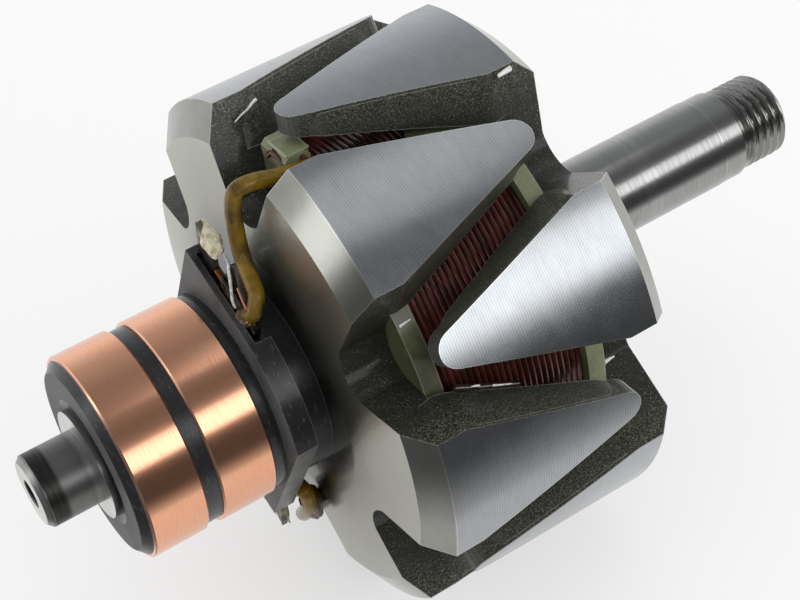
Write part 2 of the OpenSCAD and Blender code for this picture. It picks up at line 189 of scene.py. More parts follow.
class Shader:
    """The nodes of a material or of the world, with short calls for what the finishes share."""

    def __init__(self, name, world=None):
        self.material = world or bpy.data.materials.new(name)
        self.material.use_nodes = True
        self.tree = self.material.node_tree
        self.surface = self.tree.nodes.get("Principled BSDF")

    def put(self, socket, value):
        """Links a socket, or sets a plain value on it."""
        if isinstance(value, bpy.types.NodeSocket):
            self.tree.links.new(value, socket)
        elif socket.type == "RGBA":
            socket.default_value = (*value[:3], 1.0)
        else:
            socket.default_value = value

    def node(self, kind, **settings):
        """Adds a node and sets its options."""
        made = self.tree.nodes.new(kind)
        for key, value in settings.items():
            setattr(made, key, value)
        return made

    def finish(self, **values):
        """Sets the surface's own sockets, named with underscores for spaces."""
        for key, value in values.items():
            self.put(self.surface.inputs[key.replace("_", " ")], value)
        return self.material

    def maths(self, operation, *values):
        """Works on one to three numbers."""
        made = self.node("ShaderNodeMath", operation=operation)
        for socket, value in zip(made.inputs, values):
            self.put(socket, value)
        return made.outputs[0]

    def spread(self, value, low, high, to_low=0.0, to_high=1.0):
        """Maps a range of a value to another range, and stops at its ends."""
        made = self.node("ShaderNodeMapRange", clamp=True)
        for socket, item in zip(made.inputs, (value, low, high, to_low, to_high)):
            self.put(socket, item)
        return made.outputs[0]

    def blend(self, factor, a, b):
        """Mixes two colours."""
        made = self.node("ShaderNodeMix", data_type="RGBA")
        self.put(made.inputs["Factor"], factor)
        self.put(made.inputs[6], a)
        self.put(made.inputs[7], b)
        return made.outputs[2]

    def level(self, factor, a, b):
        """Mixes two numbers."""
        made = self.node("ShaderNodeMix", data_type="FLOAT")
        self.put(made.inputs["Factor"], factor)
        self.put(made.inputs[2], a)
        self.put(made.inputs[3], b)
        return made.outputs[0]

    def ramp(self, factor, stops):
        """Colours along a factor, as pairs of place and colour."""
        made = self.node("ShaderNodeValToRGB")
        self.put(made.inputs[0], factor)
        elements = made.color_ramp.elements
        while len(elements) < len(stops):
            elements.new(0.5)
        for element, (place, shade) in zip(elements, stops):
            element.position = place
            element.color = (*shade, 1.0)
        return made.outputs[0]

    def place(self):
        """The point on the part, in metres."""
        return self.node("ShaderNodeTexCoord").outputs["Object"]

    def stretched(self, scale):
        """The point on the part, stretched along its axes."""
        made = self.node("ShaderNodeMapping")
        self.put(made.inputs["Vector"], self.place())
        made.inputs["Scale"].default_value = scale
        return made.outputs[0]

    def grain(self, size, detail=3.0, rough=0.55, vector=None):
        """Soft noise whose patches are about one size across, in metres."""
        made = self.node("ShaderNodeTexNoise")
        self.put(made.inputs["Vector"], vector or self.place())
        made.inputs["Scale"].default_value = 1.0 / size
        made.inputs["Detail"].default_value = detail
        made.inputs["Roughness"].default_value = rough
        return made.outputs["Fac"]

    def axes(self, vector):
        """The three parts of a vector."""
        made = self.node("ShaderNodeSeparateXYZ")
        self.put(made.inputs[0], vector)
        return made.outputs

    def both(self, a, b):
        """The product of two numbers, such as the overlap of two masks."""
        return self.maths("MULTIPLY", a, b)

    def either(self, a, b):
        """The greater of two numbers, such as two masks together."""
        return self.maths("MAXIMUM", a, b)

    def about_shaft(self):
        """Station along the shaft, radius from it, and how far the surface faces along and away from it."""
        coordinates = self.node("ShaderNodeTexCoord").outputs
        x, y, z = self.axes(coordinates["Object"])
        along, side, up = self.axes(coordinates["Normal"])
        radius = self.maths("SQRT", self.maths("ADD", self.both(y, y), self.both(z, z)))
        outward = self.maths("DIVIDE", self.maths("ADD", self.both(side, y), self.both(up, z)), radius)
        return x, radius, along, outward

    def seen(self):
        """1 for what the camera, a gloss or a clear piece shows, and 0 for what lights."""
        rays = self.node("ShaderNodeLightPath").outputs
        mirrored = self.either(rays["Is Glossy Ray"], rays["Is Transmission Ray"])
        return self.either(rays["Is Camera Ray"], mirrored)

    def waves(self, value, pitch):
        """Ridges from 0 to 1 at a pitch along a value."""
        phase = self.maths("MULTIPLY", value, 2 * math.pi / pitch)
        return self.maths("MULTIPLY_ADD", self.maths("SINE", phase), 0.5, 0.5)

    def relief(self, height, depth, strength=1.0):
        """A bump of a depth in metres."""
        made = self.node("ShaderNodeBump")
        made.inputs["Strength"].default_value = strength
        made.inputs["Distance"].default_value = depth
        self.put(made.inputs["Height"], height)
        return made.outputs[0]

    def edges(self, radius):
        """1 along the sharp edges within a radius of them, 0 elsewhere."""
        rounded = self.node("ShaderNodeBevel", samples=4)
        rounded.inputs["Radius"].default_value = radius
        straight = self.node("ShaderNodeNewGeometry")
        likeness = self.node("ShaderNodeVectorMath", operation="DOT_PRODUCT")
        self.put(likeness.inputs[0], rounded.outputs[0])
        self.put(likeness.inputs[1], straight.outputs["Normal"])
        return self.spread(likeness.outputs["Value"], 0.99, 0.85)

    def around(self):
        """Direction of turning marks about the shaft."""
        return self.node("ShaderNodeTangent", direction_type="RADIAL", axis="X").outputs[0]


def pole_steel(name, face_way):
    """Forged pole half: turned outside, chamfer, varnished face and dark granular claw sides, with painted
    light and glinting specks painted on the sides, and pale edges that are partly wear and partly painted
    highlight.
    """
    paint, size, shade = colours(), sizes(), Shader(name)
    station, radius, along, outward = shade.about_shaft()
    facing = shade.both(along, face_way)
    turned = shade.both(shade.spread(outward, 0.93, 0.96),
                        shade.spread(radius, size.pole_radius - 0.4 * MM, size.pole_radius - 0.2 * MM))
    chamfer = shade.both(shade.spread(facing, 0.55, 0.6), shade.spread(outward, 0.3, 0.35))
    face = shade.spread(facing, 0.93, 0.96)
    tip = shade.both(shade.spread(facing, -0.25, -0.6), shade.spread(radius, 0.038, 0.0385))
    patches = shade.grain(6 * MM)
    specks = shade.grain(0.28 * MM, detail=3.0, rough=0.65)
    # Painted highlights: pale specks scattered over the forged skin stand in for glinting light.
    painted_glints = shade.spread(shade.grain(0.2 * MM, detail=1.0), 0.68, 0.74)
    marks = shade.waves(station, size.turning_pitch)
    uneven = shade.grain(3 * MM, vector=shade.stretched((3.0, 1.0, 1.0)))
    # Painted light: the grains on the claw sides are pale towards the outside and dark towards the shaft.
    outer_painted_light = shade.spread(shade.maths("MULTIPLY_ADD", patches, 6 * MM, radius), 0.0385, 0.0455)
    grains = shade.blend(outer_painted_light, (0.036, 0.038, 0.024), (0.20, 0.205, 0.145))
    forged = shade.blend(shade.spread(specks, 0.48, 0.68), paint.forged, grains)
    forged = shade.blend(painted_glints, forged, (0.34, 0.35, 0.27))
    face_shade = shade.ramp(
        shade.spread(shade.maths("MULTIPLY_ADD", patches, 4 * MM, radius), 0.018, 0.042),
        ((0.0, paint.varnish), (0.22, (0.06, 0.055, 0.04)), (0.5, (0.25, 0.245, 0.20)),
         (0.95, (0.36, 0.365, 0.32))))
    turned_shade = shade.blend(shade.both(marks, shade.spread(uneven, 0.3, 0.7, 0.16, 0.44)),
                               paint.turned, [c * 0.45 for c in paint.turned])
    base = shade.blend(face, forged, face_shade)
    base = shade.blend(tip, base, (0.13, 0.135, 0.125))
    chamfer_shade = shade.blend(shade.spread(patches, 0.4, 0.7), paint.chamfer, (0.25, 0.255, 0.23))
    base = shade.blend(chamfer, base, chamfer_shade)
    base = shade.blend(turned, base, turned_shade)
    # Pale edges: partly wear and partly painted highlight.
    edge_wear_highlight = shade.both(shade.edges(0.3 * MM), shade.spread(radius, 0.034, 0.038))
    base = shade.blend(shade.both(edge_wear_highlight, 0.8), base, (0.74, 0.74, 0.70))
    smooth = shade.either(turned, chamfer)
    metal = shade.either(shade.either(smooth, edge_wear_highlight),
                         shade.level(face, shade.level(tip, 0.1, 0.7), 0.85))
    rough_skin = shade.spread(specks, 0.3, 0.7, 0.26, 0.5)
    finish = shade.level(smooth, shade.level(face, rough_skin, 0.27),
                         shade.level(chamfer, shade.spread(patches, 0.3, 0.7, 0.19, 0.25), 0.15))
    fine = shade.relief(shade.both(marks, turned), 0.001 * MM)
    skin = shade.maths("SUBTRACT", 1.0, shade.either(smooth, shade.both(face, 0.94)))
    lumps = shade.maths("MULTIPLY_ADD", shade.grain(1.7 * MM), 0.9, specks)
    rough = shade.relief(shade.both(lumps, skin), 0.35 * MM)
    shade.put(rough.node.inputs["Normal"], fine)
    return shade.finish(Base_Color=base, Metallic=metal, Roughness=finish, Normal=rough,
                        Anisotropic=0.3, Tangent=shade.around(), Coat_Weight=shade.level(smooth, 0.4, 0.0),
                        Coat_Roughness=0.15)


def shaft_steel():
    """Turned and ground steel of the shaft, with its bands from stub to thread, painted highlights on its
    flat faces and painted shade in its centre holes.
    """
    paint, shade = colours(), Shader("shaft_steel")
    station, radius, along = shade.about_shaft()[:3]
    low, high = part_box("shaft")
    ground = tuple(paint.ground)
    dark = (0.045, 0.045, 0.043)
    satin = (0.36, 0.36, 0.355)
    dull = (0.20, 0.20, 0.195)
    bands = ((low.x, ground), (low.x + 0.0008, ground), (low.x + 0.001, dark), (low.x + 0.0036, dark),
             (low.x + 0.0039, dull), (low.x + 0.0080, dull), (low.x + 0.0082, ground), (-0.022, ground),
             (-0.004, ground), (-0.0035, satin), (-0.001, satin), (-0.0005, ground), (high.x - 0.010, ground),
             (high.x - 0.0085, (0.22, 0.22, 0.21)), (high.x, (0.30, 0.30, 0.29)))
    base = shade.ramp(shade.spread(station, low.x, high.x),
                      [((x - low.x) / (high.x - low.x), band) for x, band in bands])
    streaks = shade.grain(5 * MM, vector=shade.stretched((12.0, 1.0, 1.0)))
    base = shade.blend(shade.spread(streaks, 0.45, 0.8, 0.0, 0.3), base, (0.16, 0.155, 0.14))
    # Painted highlight: faces that look along the shaft are coloured much paler than its turned sides.
    flat = shade.spread(shade.maths("ABSOLUTE", along), 0.9, 0.97)
    base = shade.blend(flat, base, shade.blend(streaks, (0.84, 0.84, 0.81), (0.46, 0.46, 0.44)))
    # Pale edges: partly wear and partly painted highlight.
    base = shade.blend(shade.both(shade.edges(0.2 * MM), 0.7), base, (0.75, 0.75, 0.72))
    # Painted shade: the centre holes are coloured nearly black.
    hole = shade.spread(radius, 0.0022, 0.0024)
    base = shade.blend(hole, (0.02, 0.02, 0.018), base)
    marks = shade.both(shade.waves(station, 0.3 * MM), shade.spread(streaks, 0.3, 0.7))
    return shade.finish(Base_Color=base, Metallic=1.0,
                        Roughness=shade.level(shade.spread(station, low.x + 9 * MM, low.x + 9.5 * MM), 0.36,
                                              shade.spread(streaks, 0.3, 0.75, 0.17, 0.25)),
                        Normal=shade.relief(marks, 0.0015 * MM), Anisotropic=0.3, Tangent=shade.around())


def bobbin_nylon():
    """Natural nylon under a coat of varnish, browned in patches, and darker on the ring-end side from varnish
    stain and painted shade.
    """
    paint, shade = colours(), Shader("bobbin_nylon")
    patches = shade.grain(7 * MM)
    specks = shade.grain(0.8 * MM)
    station, radius = shade.about_shaft()[:2]
    # Varnish stain and painted shade: the ring-end side of the bobbin is darker, save for the lead posts; the
    # drive-end side keeps the nylon's colour.
    clean_unshaded = shade.either(shade.spread(radius, 0.0350, 0.0362), shade.spread(station, -0.048, -0.044))
    base = shade.blend(shade.spread(patches, 0.45, 0.75), paint.nylon, (0.15, 0.145, 0.07))
    base = shade.blend(shade.spread(specks, 0.55, 0.8, 0.0, 0.5), base, (0.30, 0.32, 0.20))
    stained_and_shaded = shade.blend(shade.spread(patches, 0.35, 0.7), (0.040, 0.045, 0.018), (0.12, 0.13, 0.065))
    base = shade.blend(clean_unshaded, stained_and_shaded, base)
    # Pale edges: partly wear and partly painted highlight.
    base = shade.blend(shade.both(shade.edges(0.3 * MM), 0.4), base, (0.52, 0.53, 0.42))
    return shade.finish(Base_Color=base, Roughness=shade.spread(patches, 0.3, 0.7, 0.3, 0.5),
                        Normal=shade.relief(specks, 0.05 * MM), Coat_Weight=0.4, Coat_Roughness=0.15)


def enamelled_wire():
    """Dark red enamel on the winding, with varnish between the turns."""
    paint, shade = colours(), Shader("enamelled_wire")
    runs = shade.grain(4 * MM, vector=shade.stretched((3.0, 1.0, 1.0)))
    base = shade.blend(shade.spread(runs, 0.4, 0.75), paint.enamel, (0.17, 0.040, 0.030))
    return shade.finish(Base_Color=base, Metallic=0.4, Roughness=0.22, Normal=shade.relief(runs, 0.06 * MM),
                        Coat_Weight=0.4, Coat_Roughness=0.1)


def black_moulding():
    """Black moulded resin with a fine skin and a few scuffs."""
    paint, shade = colours(), Shader("black_moulding")
    scuffs = shade.grain(1.2 * MM, detail=6.0, vector=shade.stretched((3.0, 1.0, 1.0)))
    patches = shade.grain(6 * MM)
    end = shade.spread(shade.about_shaft()[2], -0.9, -0.97)
    base = shade.blend(shade.spread(scuffs, 0.58, 0.75, 0.0, 0.6), paint.moulding, (0.10, 0.098, 0.105))
    dusty = shade.blend(shade.spread(patches, 0.35, 0.7), (0.10, 0.10, 0.10), (0.055, 0.055, 0.055))
    base = shade.blend(end, base, dusty)
    # Pale edges: partly wear and partly painted highlight.
    base = shade.blend(shade.both(shade.edges(0.2 * MM), 0.4), base, (0.28, 0.27, 0.28))
    finish = shade.level(end, shade.spread(patches, 0.3, 0.7, 0.22, 0.36), 0.55)
    return shade.finish(Base_Color=base, Roughness=finish, Normal=shade.relief(scuffs, 0.03 * MM))


def slip_ring_copper(name):
    """Fine-turned copper with marks around the shaft."""
    paint, shade = colours(), Shader(name)
    station = shade.about_shaft()[0]
    streaks = shade.grain(2.5 * MM, vector=shade.stretched((30.0, 1.0, 1.0)))
    patches = shade.grain(8 * MM)
    base = shade.blend(shade.spread(streaks, 0.4, 0.75, 0.0, 0.6), paint.copper, (0.74, 0.35, 0.21))
    base = shade.blend(shade.spread(patches, 0.5, 0.8, 0.0, 0.4), base, (0.82, 0.46, 0.31))
    # Pale edges: partly wear and partly painted highlight.
    base = shade.blend(shade.both(shade.edges(0.18 * MM), 0.8), base, (0.95, 0.70, 0.54))
    marks = shade.both(shade.waves(station, 0.22 * MM), shade.spread(streaks, 0.3, 0.7, 0.2, 1.0))
    return shade.finish(Base_Color=base, Metallic=1.0, Roughness=shade.spread(streaks, 0.3, 0.75, 0.15, 0.21),
                        Normal=shade.relief(marks, 0.0015 * MM), Anisotropic=0.3, Tangent=shade.around())


def varnished_braid():
    """Braided sleeve soaked in amber varnish."""
    paint, size, shade = colours(), sizes(), Shader("varnished_braid")
    lengthwise, around = shade.axes(shade.node("ShaderNodeUVMap", uv_map="braid").outputs[0])[:2]
    run = shade.both(lengthwise, 2 * math.pi / size.braid_pitch)
    turn = shade.both(around, 2 * math.pi * size.braid_strands)
    weave = shade.both(shade.maths("SINE", shade.maths("ADD", run, turn)),
                       shade.maths("SINE", shade.maths("SUBTRACT", run, turn)))
    patches = shade.grain(3 * MM)
    base = shade.blend(shade.spread(patches, 0.4, 0.7), paint.sleeve, (0.036, 0.020, 0.002))
    base = shade.blend(shade.spread(weave, 0.1, 0.9, 0.0, 0.4), base, (0.26, 0.155, 0.012))
    return shade.finish(Base_Color=base, Roughness=0.3, Specular_IOR_Level=0.2,
                        Normal=shade.relief(weave, 0.03 * MM), Coat_Weight=0.5, Coat_Roughness=0.05)


def bare_copper():
    """Bare copper wire, dulled in places."""
    paint, shade = colours(), Shader("bare_copper")
    patches = shade.grain(0.9 * MM)
    base = shade.blend(shade.spread(patches, 0.4, 0.75), paint.wire, (0.28, 0.09, 0.05))
    return shade.finish(Base_Color=base, Metallic=1.0, Roughness=shade.spread(patches, 0.3, 0.7, 0.22, 0.45),
                        Normal=shade.relief(patches, 0.02 * MM))


def tinned_metal():
    """Tinned terminal, smoked by the soldering."""
    paint, shade = colours(), Shader("tinned_metal")
    patches = shade.grain(1.4 * MM)
    base = shade.blend(shade.spread(patches, 0.35, 0.7), paint.tin, (0.05, 0.045, 0.035))
    return shade.finish(Base_Color=base, Metallic=0.9, Roughness=shade.spread(patches, 0.3, 0.7, 0.28, 0.5),
                        Normal=shade.relief(patches, 0.06 * MM))


def grainy_solder():
    """Pale solder with a grainy skin and a little flux."""
    paint, shade = colours(), Shader("grainy_solder")
    grains = shade.grain(0.35 * MM, detail=4.0)
    patches = shade.grain(1.2 * MM)
    base = shade.blend(shade.spread(patches, 0.48, 0.68), paint.solder, (0.42, 0.35, 0.17))
    base = shade.blend(shade.spread(grains, 0.5, 0.75, 0.0, 0.7), base, (0.86, 0.83, 0.70))
    return shade.finish(Base_Color=base, Metallic=0.55, Roughness=0.28, Normal=shade.relief(grains, 0.3 * MM),
                        Coat_Weight=0.6, Coat_Roughness=0.08)


def thick_varnish():
    """Run of amber varnish, brown where it is thick."""
    paint, shade = colours(), Shader("thick_varnish")
    patches = shade.grain(1.6 * MM)
    base = shade.blend(shade.spread(patches, 0.35, 0.7), paint.amber, (0.030, 0.012, 0.003))
    return shade.finish(Base_Color=base, Roughness=0.18, Normal=shade.relief(patches, 0.1 * MM),
                        Coat_Weight=1.0, Coat_Roughness=0.05)


def dark_varnish_and_shade():
    """Nearly black varnish that fills the corners behind the leads; behind the first lead a web of it is also
    painted shade.
    """
    shade = Shader("dark_varnish_and_shade")
    patches = shade.grain(1.8 * MM)
    base = shade.blend(shade.spread(patches, 0.4, 0.7), (0.006, 0.005, 0.004), (0.035, 0.017, 0.006))
    return shade.finish(Base_Color=base, Roughness=0.15, Normal=shade.relief(patches, 0.2 * MM),
                        Coat_Weight=1.0, Coat_Roughness=0.05)


def highlight_varnish():
    """Clear varnish coloured near white as a painted highlight where it has run thick."""
    paint, shade = colours(), Shader("highlight_varnish")
    patches = shade.grain(0.6 * MM)
    # Painted highlight: the varnish's own colour is near white.
    base = shade.blend(shade.spread(patches, 0.45, 0.75), paint.painted_gleam, (0.30, 0.30, 0.25))
    return shade.finish(Base_Color=base, Roughness=0.12, Normal=shade.relief(patches, 0.04 * MM),
                        Coat_Weight=1.0, Coat_Roughness=0.04)


def floor_paint():
    """Pale, faintly uneven floor that is seen and mirrored nearer to white than it lights."""
    paint, shade = colours(), Shader("floor_paint")
    patches = shade.grain(0.25)
    base = shade.blend(patches, paint.floor, [c * 0.985 for c in paint.floor])
    shade.finish(Base_Color=base, Roughness=0.7, Specular_IOR_Level=0.1)
    white = shade.node("ShaderNodeEmission")
    lifted = shade.node("ShaderNodeMixShader")
    shade.put(lifted.inputs[0], shade.both(shade.seen(), 0.55))
    shade.put(lifted.inputs[1], shade.surface.outputs[0])
    shade.put(lifted.inputs[2], white.outputs[0])
    shade.put(shade.tree.nodes["Material Output"].inputs["Surface"], lifted.outputs[0])
    return shade.material


def dress(name, material):
    """Gives a node of the frame its finish."""
    slots = NODES[name].data.materials
    slots.clear()
    slots.append(material)


def add_piece(mesh, material, slot, *nodes):
    """Adds a piece named as its mesh that rides on the rotor, and may stand for nodes of the frame."""
    mesh.materials.append(material)
    piece = bpy.data.objects.new(mesh.name, mesh)
    bpy.context.scene.collection.objects.link(piece)
    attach(piece, "root")
    if nodes:
        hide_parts(*nodes)


def smooth_mesh(name, build, sharp_angle):
    """Makes a mesh that is shaded smoothly, with hard edges beyond an angle."""
    mesh = bpy.data.meshes.new(name)
    build.to_mesh(mesh)
    build.free()
    mesh.shade_smooth()
    mesh.set_sharp_from_angle(angle=math.radians(sharp_angle))
    return mesh


def through(points, steps):
    """A smooth curve through a list of points, with a few steps in each stretch."""
    curve = []
    last = len(points) - 1
    for i in range(last):
        a, b, c, d = points[max(i - 1, 0)], points[i], points[i + 1], points[min(i + 2, last)]
        for k in range(steps):
            t = k / steps
            curve.append(0.5 * (2 * b + (c - a) * t + (2 * a - 5 * b + 4 * c - d) * t * t
                                + (3 * b - a - 3 * c + d) * t * t * t))
    return curve + [points[last]]


def route(stops, steps):
    """A smooth curve through stops, each a station, a radius and a turn."""
    return through([at(*stop) for stop in stops], steps)


def turned_axes(turn):
    """The directions along the shaft, away from it and around it, at a turn in degrees."""
    spin = Matrix.Rotation(math.radians(turn), 3, "X")
    return spin @ LONG_WAY, spin @ SIDE_WAY, spin @ UP_WAY


def tube(name, path, radius, sides, end_radius=None, flat=1.0):
    """A round tube with its layout along a path, which may taper and lie flatter towards the shaft."""
    count = len(path)
    headings = [(path[min(i + 1, count - 1)] - path[max(i - 1, 0)]).normalized() for i in range(count)]
    side = headings[0].orthogonal().normalized()
    build = bmesh.new()
    layout = build.loops.layers.uv.new("braid")
    rows, runs, run = [], [], 0.0
    for i, point in enumerate(path):
        side = (side - side.dot(headings[i]) * headings[i]).normalized()
        across = headings[i].cross(side)
        run += (point - path[i - 1]).length if i else 0.0
        reach = radius + ((end_radius or radius) - radius) * i / (count - 1)
        reach *= 0.82 if i in (0, count - 1) else 1.0
        away = Vector((0.0, point.y, point.z)).normalized()
        row = []
        for k in range(sides):
            angle = 2 * math.pi * k / sides
            offset = reach * (math.cos(angle) * side + math.sin(angle) * across)
            row.append(build.verts.new(point + offset - (1.0 - flat) * offset.dot(away) * away))
        rows.append(row)
        runs.append(run)
    for i in range(count - 1):
        for k in range(sides):
            n = (k + 1) % sides
            face = build.faces.new((rows[i][k], rows[i][n], rows[i + 1][n], rows[i + 1][k]))
            corners = ((runs[i], k), (runs[i], k + 1), (runs[i + 1], k + 1), (runs[i + 1], k))
            for loop, (u, v) in zip(face.loops, corners):
                loop[layout].uv = (u, v / sides)
    build.faces.new(rows[0][::-1])
    build.faces.new(rows[-1])
    return smooth_mesh(name, build, 50)


def block(name, middle, half_sizes, axes, bevel):
    """A block with bevelled edges."""
    build = bmesh.new()
    bmesh.ops.create_cube(build, size=2.0)
    turn = Matrix(axes).transposed()
    for vert in build.verts:
        vert.co = middle + turn @ Vector([vert.co[i] * half_sizes[i] for i in range(3)])
    bmesh.ops.bevel(build, geom=build.edges[:], offset=bevel, segments=3, profile=0.5, affect="EDGES")
    return smooth_mesh(name, build, 30)


def lump(name, middle, half_sizes, axes, roughness, seed, taper=0.0):
    """A rounded lump of solder or varnish with an uneven skin, which may narrow along its last axis."""
    build = bmesh.new()
    bmesh.ops.create_icosphere(build, subdivisions=4, radius=1.0)
    turn = Matrix(axes).transposed()
    for vert in build.verts:
        uneven = 1.0 + roughness * noise.fractal(vert.co * 1.7 + Vector((seed, 0, 0)), 0.8, 2.0, 3)
        narrow = 1.0 - taper * max(0.0, vert.co.z)
        vert.co = middle + turn @ Vector((vert.co.x * half_sizes[0] * uneven * narrow,
                                          vert.co.y * half_sizes[1] * uneven * narrow,
                                          vert.co.z * half_sizes[2] * uneven))
    return smooth_mesh(name, build, 180)


def lathe(name, rows, sides, radius_at):
    """A closed surface turned about the shaft, whose radius may also change around it."""
    build = bmesh.new()
    rings = []
    for x, radius in rows:
        if radius == 0.0:
            rings.append([build.verts.new((x, 0.0, 0.0))])
            continue
        ring = []
        for k in range(sides):
            angle = 2 * math.pi * k / sides
            r = radius_at(x, radius, angle)
            ring.append(build.verts.new((x, r * math.cos(angle), r * math.sin(angle))))
        rings.append(ring)
    for a, b in zip(rings, rings[1:]):
        for k in range(sides):
            n = (k + 1) % sides
            if len(a) == 1:
                build.faces.new((a[0], b[n], b[k]))
            elif len(b) == 1:
                build.faces.new((a[k], a[n], b[0]))
            else:
                build.faces.new((a[k], a[n], b[n], b[k]))
    bmesh.ops.recalc_face_normals(build, faces=build.faces)
    return smooth_mesh(name, build, 30)


class ROTOR_OT_shaft(bpy.types.Operator):
    """Turns the shaft with its bands, centre holes and thread"""
    bl_idname = "rotor.shaft"
    bl_label = "Shaft"

    def execute(self, context):
        size = sizes()
        low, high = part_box("shaft")
        stub_end = low.x + 9.2 * MM
        collar_end = -24.4 * MM
        journal_end = 13.0 * MM
        seat_end = journal_end + 4.7 * MM
        thread_start = seat_end + 1.6 * MM
        chamfer = size.end_chamfer
        rows = [(low.x + size.hole_depth, 0.0), (low.x, size.hole_radius),
                (low.x, size.stub_radius - chamfer), (low.x + chamfer, size.stub_radius),
                (stub_end, size.stub_radius), (stub_end, size.collar_radius),
                (collar_end, size.collar_radius), (collar_end, size.journal_radius),
                (journal_end, size.journal_radius), (journal_end, size.seat_radius),
                (seat_end - chamfer / 2, size.seat_radius), (seat_end, size.seat_radius - chamfer / 2),
                (seat_end, size.relief_radius), (thread_start, size.relief_radius)]
        steps = 80
        for k in range(steps + 1):
            x = thread_start + (high.x - thread_start) * k / steps
            rows.append((x, min(size.thread_radius, size.thread_radius + high.x - chamfer - x)))
        rows += [(high.x, size.hole_radius), (high.x - size.hole_depth, 0.0)]

        def radius_at(x, radius, angle):
            if x < thread_start or radius < size.relief_radius - size.hole_radius / 2:
                return radius
            phase = ((x - thread_start) / size.thread_pitch - angle / (2 * math.pi)) % 1.0
            valley = max(0.0, 1.0 - abs(phase - 0.5) * 2.4)
            start = min(1.0, (x - thread_start) / (0.4 * MM))
            return min(radius, size.thread_radius - size.thread_depth * valley * start)

        add_piece(lathe("shaft_turned", rows, 120, radius_at), shaft_steel(), "shaft_steel", "shaft")
        return {"FINISHED"}


class ROTOR_OT_poles(bpy.types.Operator):
    """Finishes the two forged pole halves"""
    bl_idname = "rotor.poles"
    bl_label = "Pole halves"

    def execute(self, context):
        dress("pole_half_ring_end", pole_steel("pole_steel_ring_end", -1.0))
        dress("pole_half_drive_end", pole_steel("pole_steel_drive_end", 1.0))
        return {"FINISHED"}


class ROTOR_OT_draft(bpy.types.Operator):
    """Adds the forged slope of the claws' sides, which are wider towards the shaft"""
    bl_idname = "rotor.draft"
    bl_label = "Claw draft"

    def execute(self, context):
        for end, way, first_turn in (("ring_end", 1.0, 0.0), ("drive_end", -1.0, 30.0)):
            build = bmesh.new()
            for k in range(CLAWS):
                for side in (-1.0, 1.0):
                    self.wedge(build, way, math.radians(first_turn + 360.0 / CLAWS * k), side)
            bmesh.ops.recalc_face_normals(build, faces=build.faces)
            mesh = smooth_mesh("claw_draft_" + end, build, 30)
            add_piece(mesh, bpy.data.materials["pole_steel_" + end], "pole_steel")
        return {"FINISHED"}

    def wedge(self, build, way, turn, side):
        """A long wedge along one side of a claw, which starts near its root and sinks in at its tip."""
        size = sizes()
        steps, buried, root_fade, tip_fade = 32, 0.6 * MM, 6.0 * MM, 3.0 * MM
        outward = Vector((0.0, math.cos(turn), math.sin(turn)))
        sideways = side * Vector((0.0, -math.sin(turn), math.cos(turn)))
        start, stop = -size.claw_root - 3.5 * MM, size.claw_round
        rows = []
        for i in range(steps + 1):
            along = start + (stop - start) * i / steps
            width = size.claw_root_width / 2 - size.claw_slope * max(0.0, along + size.claw_knee)
            share = min(1.0, max(0.0, (along + size.claw_root) / (size.claw_reach + size.claw_root)))
            depth = size.claw_root_depth + (size.claw_tip_depth - size.claw_root_depth) * share
            inner = size.pole_radius - depth
            out = min(1.0, (along - start) / root_fade, (stop - along) / tip_fade)
            rim = width + 0.01 * MM - (1.0 - out) * buried / 2
            foot = rim + size.claw_draft * depth * out
            top = math.sqrt(size.pole_radius ** 2 - width ** 2) - size.claw_land
            row = []
            for across, height in ((width - buried, math.sqrt(inner ** 2 - (width - buried) ** 2)),
                                   (foot, math.sqrt(inner ** 2 - foot ** 2)),
                                   (rim, top), (width - buried, top)):
                point = sideways * across + outward * height
                row.append(build.verts.new((way * along - size.pole_middle, point.y, point.z)))
            rows.append(row)
        for a, b in zip(rows, rows[1:]):
            for k in range(4):
                n = (k + 1) % 4
                build.faces.new((a[k], a[n], b[n], b[k]))
        build.faces.new(rows[0])
        build.faces.new(rows[-1][::-1])


class ROTOR_OT_winding(bpy.types.Operator):
    """Finishes the bobbin and the winding, and lays its wire ends through the lead posts"""
    bl_idname = "rotor.winding"
    bl_label = "Winding"

    def execute(self, context):
        enamel = enamelled_wire()
        nylon = bobbin_nylon()
        dress("bobbin", nylon)
        dress("field_coil", enamel)
        for end, turn in (("start", 90.0), ("finish", 270.0)):
            along, away, across = turned_axes(turn + 1.0)
            cap = block("post_cap_" + end, at(-13.9, 37.55, turn + 1.0), (1.8 * MM, 2.4 * MM, 0.62 * MM),
                        (along, across, away), 0.3 * MM)
            add_piece(cap, nylon, "bobbin_nylon")
            mouth = ((-16.5, 36.2, turn - 2.4), (-16.2, 37.0, turn - 1.2), (-16.05, 37.15, turn + 1.0),
                     (-16.05, 37.1, turn + 3.2), (-16.2, 36.6, turn + 5.2), (-16.5, 36.2, turn + 7.5))
            stump = ((-13.3, 37.2, turn + 4.8), (-13.3, 37.25, turn + 5.8), (-13.2, 37.25, turn + 6.5))
            for name, stops, steps in (("winding_end_", mouth, 6), ("winding_stump_", stump, 4)):
                wire = tube(name + end, route(stops, steps), sizes().wire_diameter / 2, 14)
                add_piece(wire, enamel, "enamelled_wire")
        petal = ((3.6, 33.2, 96.6), (5.3, 33.3, 98.4), (7.3, 33.3, 100.3), (9.4, 33.3, 102.1),
                 (11.4, 33.3, 103.8))
        strip = tube("bobbin_petal", route(petal, 6), 0.85 * MM, 16, 0.65 * MM, 0.6)
        add_piece(strip, nylon, "bobbin_nylon")
        return {"FINISHED"}


class ROTOR_OT_slip_rings(bpy.types.Operator):
    """Finishes the black moulding and the two copper slip rings"""
    bl_idname = "rotor.slip_rings"
    bl_label = "Slip rings"

    def execute(self, context):
        dress("slip_ring_body", black_moulding())
        for name in ("slip_ring_outer", "slip_ring_inner"):
            dress(name, slip_ring_copper(name + "_copper"))
        return {"FINISHED"}


